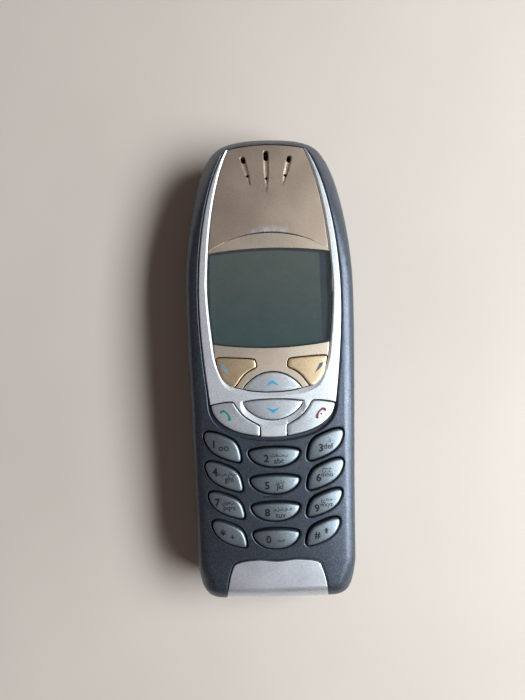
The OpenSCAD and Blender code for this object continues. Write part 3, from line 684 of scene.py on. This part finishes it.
def make_bezel():
    """The edge next to the fascia is rounded along the arms and a wide slope on the crossbar; a thin ring
    under each ridge keeps it crisp. Each ring is how far it stands off the outline, and its height."""
    top = BODY_T + BEZEL_RISE
    piece = stack("silver_bezel_frame", rounded(bezel, 17.6, top, 0.3))
    round_fascia = [(0.12, INSIDE_Z), (0.12, BODY_T - 0.12),
                    (lambda p: 0.34 + 0.66 * crossbar(p), BODY_T + 0.12),
                    (lambda p: 0.57 + 0.88 * crossbar(p), top - 0.013),
                    (lambda p: 0.62 + 0.88 * crossbar(p), top + 0.005),
                    (lambda p: 0.9 + 1.2 * crossbar(p), BODY_T + 1)]
    round_key = [(0.3, INSIDE_Z), (0.3, top - 0.34), (lambda p: dish(p) - 0.05, top - 0.012),
                 (dish, top + 0.004), (lambda p: 1.4 * dish(p), top + 1)]
    for outline, rings in ((fascia, round_fascia), (scroll_down, round_key)):
        carve(piece, stack("cutter", [(grown(outline, reach), z) for reach, z in rings]))
    for outline in (scroll_up, end_notch, mirrored(end_notch)):
        carve(piece, opening(outline, gap=0.32, lip=0.16, low=INSIDE_Z, high=top))
    lay(piece)
    polish(piece, "handset", silver_lacquer, ["silver_bezel"])


def teardrop(x, y, end_x, end_y, width, drawn_in):
    """A groove's plan: round and wide at its first end, tapering to a narrow tip at the other."""
    along = Vector((end_x - x, end_y - y))
    length = along.length - 3 * drawn_in
    along.normalize()
    across = Vector((-along.y, along.x))
    radius = width / 2 - drawn_in
    start = [(0.0, width / 2 - radius)]
    profile = [(radius * math.sin(t), width / 2 - radius * math.cos(t)) for t in quarter(4)[1:-1]]
    profile += [(radius * (1 - 0.88 * share ** 3), width / 2 + (length - width / 2) * share)
                for share in (k / 8 for k in range(9))]
    points = start + profile + [(-w, t) for w, t in reversed(profile)]
    return [(x + along.x * t + across.x * w, y + along.y * t + across.y * w) for w, t in points]


# the wide end, the tip and the width of each groove over the earpiece
EAR_GROOVES = [(0, 58.3, 0, 46.0, 1.75), (6.7, 56.6, 4.4, 47.9, 1.65), (-6.7, 56.6, -4.4, 47.9, 1.65)]
# the middle, width, length and turn of each hole in them
EAR_HOLES = [(0, 56.7, 1.35, 2.9, 0), (0, 50.2, 0.8, 0.9, 0), (6.3, 55.6, 1.3, 2.0, -15),
             (-6.3, 55.6, 1.3, 2.0, 15), (5.2, 51, 0.8, 0.9, -15), (-5.2, 51, 0.8, 0.9, 15)]
# the right half of the step's upper edge
STEP_HALF = [(2.5, 35), (5, 34.75), (7.5, 34.2), (10, 33.35), (11.8, 32.6), (15, 31), (18, 29.6)]


def oval(x, y, width, length, turn):
    a = math.radians(turn)
    points = []
    for u, v in circle(width / 2, 24):
        v += math.copysign((length - width) / 2, v)
        points.append((x + u * math.cos(a) - v * math.sin(a), y + u * math.sin(a) + v * math.cos(a)))
    return points


def make_fascia():
    top = BODY_T + FASCIA_RISE
    panel = stack("gold_fascia_panel", rounded(grown(fascia, -0.08), 19.1, top, 0.15))
    combine(panel, "INTERSECT", stack("cutter", rounded(grown(bezel, -0.05), 10, top + 0.02, 0.3)))
    # the sloping step above the display: deepest at the middle of the crease
    step_plan = [(-x, y) for x, y in STEP_HALF[::-1]] + [(0, CREASE_Y)] + STEP_HALF + [(18, 27), (-18, 27)]
    step = slab("cutter", step_plan, top - 0.3, top + 2)
    for vertex in step.data.vertices:
        if vertex.co.z < top * MM:
            vertex.co.z = (top - 0.04 - 0.06 * (vertex.co.y / MM - 29.8)) * MM
    carve(panel, step)
    # a shadow gap along the crease, narrowing towards both ends, with a black strip down in it as painted
    # shade
    line = [(x, CREASE_Y - CREASE_DROP * x ** 2) for x in (k / 2 for k in range(-24, 25))]
    gap = line + [(x, y - 0.08 - 0.26 * (1 - (x / 12.2) ** 2)) for x, y in line[::-1]]
    carve(panel, slab("cutter", gap, top - 0.62, top + 1))
    painted_shade_strip = slab("crease_painted_shade_strip", gap, top - 0.62, top - 0.38)
    move_points(painted_shade_strip, laid)
    polish(painted_shade_strip, "handset", black_abs)
    carve(panel, opening(lens, gap=0.12, lip=0.08, low=INSIDE_Z, high=top))
    for outline in (soft_left, soft_right, scroll_up):
        carve(panel, opening(outline, gap=0.3, lip=0.14, low=INSIDE_Z, high=top))
    for *ends, width in EAR_GROOVES:
        carve(panel, stack("cutter", [
            (teardrop(*ends, width, share * width), top + depth)
            for share, depth in ((0.34, -0.5), (0.2, -0.42), (0.0, 0.0), (-0.05, 0.5))]))
    for hole in EAR_HOLES:
        carve(panel, slab("cutter", oval(*hole), INSIDE_Z, top + 2))
    lay(panel)
    polish(panel, "handset", gold_lacquer, ["gold_fascia"])


make_bezel()
make_fascia()

# ---- display: printed border, clear lens ----

def make_display_front():
    """The lens lies over a black print with a window: a hair line of print at three edges, a wide band at
    the right, and the liquid crystal glass in the window."""
    under = BODY_T - 1.4
    window = [(min(x, 13.9 + 0.0001 * y), y) for x, y in grown(lens, -0.42)]
    border = slab("display_border_print", grown(lens, -0.1), under, under + 0.13)
    carve(border, slab("cutter", window, INSIDE_Z, BODY_T + 2))
    glass = slab("display_glass_face", grown(window, 0.01), under, under + 0.1)
    clear = stack("display_lens_window", rounded(grown(lens, -0.05), under + 0.15, BODY_T + LENS_RISE, 0.14))
    for piece in (border, glass, clear):
        lay(piece)
    polish(border, "handset", black_print, ["lens_adhesive"])
    polish(glass, "handset", crystal)
    polish(clear, "handset", acrylic, ["display_lens"])


make_display_front()

# ---- keys: a rounded cap whose top is crowned a little both ways ----

def cap(name, outline, rise, edge, round_x, round_y):
    """A key: straight sides down to the foot of the frame's own key, a rounded edge, then rings drawn in to
    the middle of a top that is crowned with these radii."""
    centre = middle(outline)
    top = BODY_T + rise
    levels = rounded(outline, KEY_BASE, top, edge)
    last = levels[-1][0]
    foot = min(vertex.co.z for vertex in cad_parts[name].data.vertices)
    for share in (0.85, 0.68, 0.5, 0.32, 0.14):
        levels.append(([tuple(centre[c] + share * (p[c] - centre[c]) for c in (0, 1)) for p in last], top))
    key = stack(name + "_cap", levels)
    edit_all(key)
    drawn = bmesh.from_edit_mesh(key.data)
    for face in drawn.faces:
        face.select_set(len(face.verts) == len(outline) and face.calc_center_median().z > (top - 0.4) * MM)
    bmesh.update_edit_mesh(key.data)
    bpy.ops.mesh.poke()
    bpy.ops.object.mode_set(mode="OBJECT")

    def crowned(co):
        x, y = co.x / MM - centre[0], co.y / MM - centre[1]
        fall = x * x / (2 * round_x) + y * y / (2 * round_y) if co.z > (KEY_BASE + 1) * MM else 0
        placed_at = laid(co - Vector((0, 0, fall * MM)))
        placed_at.z = max(placed_at.z, foot)
        return placed_at

    return move_points(key, crowned)


caps = {}
for key_name, key_outline in NUMBER_KEYS.items():
    caps[key_name] = cap(key_name, key_outline, KEY_RISE, 0.45, 34, 20)
    polish(caps[key_name], key_name, key_lacquer, [key_name], angle=60)
for key_name, key_outline in (
        ("soft_key_left", soft_left), ("soft_key_right", soft_right), ("scroll_up_key", scroll_up),
        ("scroll_down_key", scroll_down), ("call_key", call_outline), ("end_key", end_outline)):
    finish_slot, finish = ("gold", soft_key_lacquer) if "soft" in key_name else ("silver", nav_key_lacquer)
    caps[key_name] = cap(key_name, key_outline, NAV_RISE, 0.28, 150, 90)
    polish(caps[key_name], key_name, finish, [key_name], angle=60)

# ---- marks printed on the keys ----

def brush(points, widths):
    """The outline of a stroke through these points, as wide at each as given."""
    left, right = [], []
    for i, (p, width) in enumerate(zip(points, widths)):
        a, b = points[max(0, i - 1)], points[min(len(points) - 1, i + 1)]
        along = Vector((b[0] - a[0], b[1] - a[1])).normalized() * width / 2
        left.append((p[0] - along.y, p[1] + along.x))
        right.append((p[0] + along.y, p[1] - along.x))
    return left + right[::-1]


def written(text, x, y, size, weight):
    """A word as a flat mesh with its middle at x, y."""
    bpy.ops.object.select_all(action="DESELECT")
    bpy.ops.object.text_add(location=(0, 0, 0))
    word = bpy.context.object.data
    word.body, word.size, word.offset, word.resolution_u = text, size, weight, 3
    bpy.ops.object.convert(target="MESH")
    drawn = bpy.context.object
    spots = [v.co.copy() for v in drawn.data.vertices]
    shift = [at - (min(s[c] for s in spots) + max(s[c] for s in spots)) / 2 for c, at in ((0, x), (1, y))]
    return move_points(drawn, lambda co: Vector((
        (co.x + shift[0]) * MM, (co.y + shift[1]) * MM, ABOVE_Z * MM)))


def print_marks(name, key_name, ink, words=(), shapes=()):
    """Marks as a thin film of ink on a key: words and flat outlines, dropped on to the cap."""
    drawn = [written(*word) for word in words] + [stack("mark", [(shape, ABOVE_Z)]) for shape in shapes]
    only(drawn[0])
    for mark in drawn:
        mark.select_set(True)
    bpy.ops.object.join()
    piece = bpy.context.object
    piece.name = name
    slice_up(piece, 0.6)
    tidy_mesh(piece, 0.001)
    only(piece)
    drop = piece.modifiers.new("drop", "SHRINKWRAP")
    drop.target = caps[key_name]
    drop.wrap_method = "PROJECT"
    drop.use_project_z = True
    drop.use_positive_direction = False
    drop.use_negative_direction = True
    bpy.ops.object.modifier_apply(modifier=drop.name)
    edit_all(piece)
    bpy.ops.mesh.extrude_region_move(TRANSFORM_OT_translate={"value": (0, 0, 0.03 * MM)})
    bpy.ops.mesh.select_all(action="SELECT")
    bpy.ops.mesh.normals_make_consistent(inside=False)
    bpy.ops.object.mode_set(mode="OBJECT")
    polish(piece, key_name, ink, weighted=False)


# the size and the added weight of the digits, the letters and the small second script
BOLD, LATIN, SCRIPT = (2.7, 0.085), (2.05, 0.03), (1.4, 0.02)
LEGENDS = {
    "key_1": [("1", -15.9, -21.7, *BOLD), ("oo", -13.3, -22.9, 2.6, 0.03)],
    "key_2": [("2", -2.15, -25.7, *BOLD), ("abc", 1.15, -26.4, *LATIN), ("ثةتب", 1.3, -25.0, *SCRIPT)],
    "key_3": [("3", 12.3, -23.3, *BOLD), ("def", 14.3, -22.9, *LATIN), ("ءا", 14.5, -21.5, *SCRIPT)],
    "key_4": [("4", -15.8, -28.95, *BOLD), ("ghi", -12.1, -31.1, *LATIN),
              ("ضصشس", -12.9, -29.6, 1.15, 0.015)],
    "key_5": [("5", -2.15, -32.8, *BOLD), ("jkl", 1.15, -33.4, *LATIN), ("زرذد", 1.2, -32.0, *SCRIPT)],
    "key_6": [("6", 11.5, -31.1, *BOLD), ("mno", 13.75, -30.5, 1.8, 0.02), ("خحج", 13.7, -29.1, *SCRIPT)],
    "key_7": [("7", -15.3, -37, *BOLD), ("pqrs", -12.2, -38.8, 1.85, 0.02), ("يوهن", -12.6, -37.3, *SCRIPT)],
    "key_8": [("8", -2.25, -39.85, *BOLD), ("tuv", 1.2, -40.7, *LATIN), ("ملكقف", 1.75, -39.2, 1.25, 0.015)],
    "key_9": [("9", 10.8, -39.1, *BOLD), ("wxyz", 13.3, -38.5, 1.65, 0.02),
              ("غعظط", 13.4, -37.1, 1.2, 0.015)],
    "key_star": [("*", -14.1, -44.9, 3.4, 0.06), ("+", -11.6, -46.1, 2.3, 0.03)],
    "key_0": [("0", -2.1, -46.9, *BOLD)],
    "key_hash": [("#", 10.7, -46.3, 2.5, 0.06)],
}
SIGNS = {
    "key_0": [brush([(0.45, -46.9), (0.45, -47.35), (1.95, -47.35), (1.95, -46.9)],
                    [0.18, 0.26, 0.26, 0.18])],
    "key_hash": [[(13.1, -44.3), (13.75, -45), (13.38, -45), (13.38, -45.75), (12.82, -45.75), (12.82, -45),
                  (12.45, -45)]],
}
for key_name, words in LEGENDS.items():
    print_marks("legend_" + key_name, key_name, legend_ink, words, SIGNS.get(key_name, ()))

SOFT_MARK = [(13.75, -0.75), (12.75, -1.0), (12.15, -2.2), (11.3, -3.7), (12.7, -2.5), (13.5, -1.5)]
CHEVRON = [(-1.8, -0.72), (-0.5, 0.4), (0, 0.78), (0.5, 0.4), (1.8, -0.72), (0.9, -0.5), (0, -0.15),
           (-0.9, -0.5)]
HANDSET = [(-13.85, -13.75), (-13.75, -13.25), (-13.2, -13.05), (-12.55, -13.4), (-12.0, -14.05),
           (-11.65, -14.75), (-11.55, -15.3), (-11.95, -15.6)]
HANDSET_WIDTHS = [0.45, 0.8, 0.64, 0.48, 0.48, 0.64, 0.8, 0.45]
for name, key_name, kind, shapes in (
        ("mark_soft_key_left", "soft_key_left", "worn grey blue", [mirrored(SOFT_MARK)]),
        ("mark_soft_key_right", "soft_key_right", "slate blue", [SOFT_MARK]),
        ("mark_scroll_up", "scroll_up_key", "sky blue", [[(x, y - 5.95) for x, y in CHEVRON]]),
        ("mark_scroll_down", "scroll_down_key", "sky blue", [[(x, -13.2 - y) for x, y in CHEVRON]]),
        ("mark_call_key", "call_key", "green", [brush(HANDSET, HANDSET_WIDTHS)]),
        ("mark_end_key", "end_key", "dark red", [brush([(-x, y) for x, y in HANDSET], HANDSET_WIDTHS),
                                                 oval(12.75, -14.45, 0.5, 0.5, 0)])):
    print_marks(name, key_name, MARK_INKS[kind], shapes=shapes)

# ---- bottom plate, wrapped over the bottom end ----

def make_plate():
    piece = stack("bottom_plate_shell", side_levels(body, 0, -PLATE_RISE, JOINT_Z))
    carve(piece, stack("core", side_levels(body, 0.9, 0.9, JOINT_Z - 1)))
    # a hair above the plate's face, so that the two faces don't fall together
    top = BODY_T + PLATE_RISE + 0.001
    combine(piece, "INTERSECT", stack("cutter", rounded(plate, JOINT_Z + 0.6, top, 0.15)))
    lay(piece, wrapped)
    polish(piece, "handset", plate_lacquer, ["bottom_plate"])


make_plate()

# ---- rear shell, battery cover and volume rocker: smooth copies of the frame's own solids ----

def from_solid(node_name, name):
    """A copy of a solid whose loose triangles are merged, so that it can be shaded smooth and carved."""
    piece = bpy.data.objects.new(name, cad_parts[node_name].data.copy())
    bpy.context.scene.collection.objects.link(piece)
    tidy_mesh(piece)
    return piece


def placed_copies(piece, shifts):
    """Copies of a piece, each with its own mesh, shifted by so many mm and joined with it."""
    made = [piece]
    for shift in shifts:
        only(piece)
        bpy.ops.object.duplicate()
        made.append(move_points(bpy.context.object, lambda co: co + Vector(shift) * MM))
    only(piece)
    for one in made:
        one.select_set(True)
    bpy.ops.object.join()


def turned_to_end(x, y, z):
    """Turns a piece that was raised along Z so that it points out of the bottom end, from x, y, z."""
    return lambda co: Vector((co.x + x * MM, y * MM - co.z, co.y + z * MM))


fine_tree = tree_of(fine_body)
FLAT_Z = 0.02      # a place below this height is on the flat of the back
ON_BACK = 0.15     # a face whose middle is this close to the back, in mm,
SAME_WAY = 0.94    # and whose normal is this near to the back's own (a cosine), belongs to it


def back_surface(co):
    """The true normal of the rounded back at this place, and how far the place is off its surface, in mm."""
    x, y, z = co.x / MM, co.y / MM, co.z / MM
    turn = math.asin(clamped(1 - z / WIDEST_Z))
    _, i, inside = fine_tree.find((x, y, 0))
    a, b = fine_body[i - 1], fine_body[(i + 1) % len(fine_body)]
    out = Vector((a[1] - b[1], b[0] - a[0])).normalized() * WIDEST_Z * math.cos(turn)
    normal = Vector((out.x, out.y, -BACK_R * math.sin(turn))).normalized()
    return normal, abs(z if z < FLAT_Z else inside - BACK_R * (1 - math.cos(turn)))


def even_back(piece):
    """Gives faces on the rounded back its true normals, so that openings leave no trace in the shading."""
    mesh = piece.data
    normals = [n.vector.copy() for n in mesh.corner_normals]
    for face in mesh.polygons:
        normal, off = back_surface(face.center)
        if off < ON_BACK and normal.dot(face.normal) > SAME_WAY:
            for corner in face.loop_indices:
                normals[corner] = back_surface(mesh.vertices[mesh.loops[corner].vertex_index].co)[0]
    mesh.normals_split_custom_set(normals)


def rocker_notch(y, bottom_x, mouth, bottom):
    """A cutter for a groove across the rocker at y, from outside it in to bottom_x; half widths."""
    return slab("cutter", [(-26, y + mouth), (bottom_x, y + bottom), (bottom_x, y - bottom),
                           (-26, y - mouth)], 3, 10)


def make_rear():
    shell = from_solid("rear_frame", "rear_shell")
    even_back(polish(shell, "handset", cover_moulded, ["rear_frame"], angle=20))
    door = from_solid("battery_cover", "battery_cover_shell")
    even_back(polish(door, "battery_cover", cover_moulded, ["battery_cover"], angle=20))
    rocker = from_solid("volume_rocker", "volume_rocker_bar")
    carve(rocker, rocker_notch(28, -22.6, 0.5, 0.1))
    for y in (21.6, 22.5, 33.5, 34.4):
        outside = max(x for x, along in fine_body if abs(along - y) < 0.2)
        carve(rocker, rocker_notch(y, 0.55 - outside, 0.3, 0.12))
    tidy_mesh(rocker)
    polish(rocker, "volume_rocker", cover_moulded, ["volume_rocker"], angle=8, weighted=False)


def make_sockets():
    """The metal in the two sockets at the bottom end, which the frame's solids leave out."""
    blade_plan = [(-0.22, -59.6), (0.22, -59.6), (0.22, -62.6),
                  (0.14, -62.9), (-0.14, -62.9), (-0.22, -62.6)]
    blade = stack("connector_contact_blades", rounded(blade_plan, 6.62, 6.8, 0.06))
    placed_copies(blade, [(1.2 * i, 0, 0) for i in range(-5, 6) if i])
    polish(blade, "handset", gold_plate)
    pin = stack("charger_pin", [
        (circle(radius, 20), z) for radius, z in ((0.45, -5.0), (0.45, -1.6), (0.36, -1.35), (0.18, -1.2))])
    sleeve = stack("charger_sleeve", rounded(circle(1.74), -4.5, -0.5, 0.1))
    carve(sleeve, slab("cutter", circle(1.55), -6, 1))
    for piece in (pin, sleeve):
        move_points(piece, turned_to_end(12.4, -63.9, 6.9))
        polish(piece, "handset", tin_plate, angle=40)


make_rear()
make_sockets()

# ---- what is kept from the frame as it is, with its finish ----

for finish, names in (
        (tin_plate, "upper_shield lower_shield vibration_motor backup_cell sim_cage microphone case_screws"),
        (gold_plate, "antenna_element battery_contacts sim_contacts"),
        (black_abs, "earpiece buzzer system_connector charger_socket"),
        (white_abs, "light_guide antenna_carrier sim_card"), (foam, "dust_gasket earpiece_gasket"),
        (rubber, "keypad_mat microphone_boot"), (dome_foil, "dome_sheet"), (board_resist, "main_board"),
        (crystal, "display_module"), (tungsten, "vibration_weight"), (can, "battery")):
    for node_name in names.split():
        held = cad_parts[node_name].data.materials
        held.clear()
        held.append(finish)

# ---- floor, light and camera ----

def make_stage():
    """A painted board, matt and even, with a faint cloud 0.1 m across."""
    bpy.ops.mesh.primitive_plane_add(size=3, location=(0, 0, 0))
    floor = bpy.context.object
    floor.name = "floor"
    made, tree, place, out = fresh("painted board, pale warm grey")
    cloud = add(tree, "TexNoise", sockets={"Vector": place, "Scale": 9.0, "Detail": 3.0})
    tint = add(tree, "ValToRGB", sockets={"Fac": cloud.outputs["Fac"]},
               stops=((0.3, linear("#cdc6bd")), (0.7, linear("#d4cdc4")))).outputs["Color"]
    shader = add(tree, "BsdfPrincipled", sockets={"Base Color": tint, "Roughness": 0.7})
    tree.links.new(shader.outputs["BSDF"], out.inputs["Surface"])
    floor.data.materials.append(made)


def lamp(name, place, size, power, colour):
    """A rectangular lamp that looks at the phone; place and size in metres, power in watts."""
    data = bpy.data.lights.new(name, "AREA")
    data.shape = "RECTANGLE"
    data.size, data.size_y = size
    data.energy = power
    data.color = linear(colour)[:3]
    made = bpy.data.objects.new(name, data)
    bpy.context.scene.collection.objects.link(made)
    made.location = place
    made.rotation_euler = (-Vector(place)).to_track_quat("-Z", "Y").to_euler()


def make_light():
    lamp("window light", (0.48, -0.05, 0.46), (0.62, 0.24), 7.0, "#f9fcff")
    lamp("low window light", (0.62, -0.06, 0.2), (0.5, 0.16), 1.3, "#f6fbff")
    lamp("room light", (-0.5, 0.5, 0.6), (0.8, 0.8), 0.08, "#f2f6ff")
    world = bpy.data.worlds.new("soft room")
    bpy.context.scene.world = world
    world.use_nodes = True
    background = world.node_tree.nodes["Background"]
    background.inputs["Color"].default_value = linear("#ffdfd8")
    background.inputs["Strength"].default_value = 0.105


CAMERA_AT = (-2.52, -5.46, 161.07)      # mm
CAMERA_TURN = (3.41, -0.01, -1.59)      # away from straight down: a rotation vector, in degrees


def make_camera():
    """A wide lens close above the phone."""
    data = bpy.data.cameras.new("camera")
    data.lens = 27.05
    data.sensor_width = 36.0
    data.clip_start = 0.01
    made = bpy.data.objects.new("camera", data)
    bpy.context.scene.collection.objects.link(made)
    turn = Vector([math.radians(a) for a in CAMERA_TURN])
    made.matrix_world = Matrix.Translation(Vector(CAMERA_AT) * MM) @ Matrix.Rotation(
        turn.length, 4, turn.normalized())
    bpy.context.scene.camera = made


make_stage()
make_light()
make_camera()
bpy.context.scene.view_settings.view_transform = "Standard"
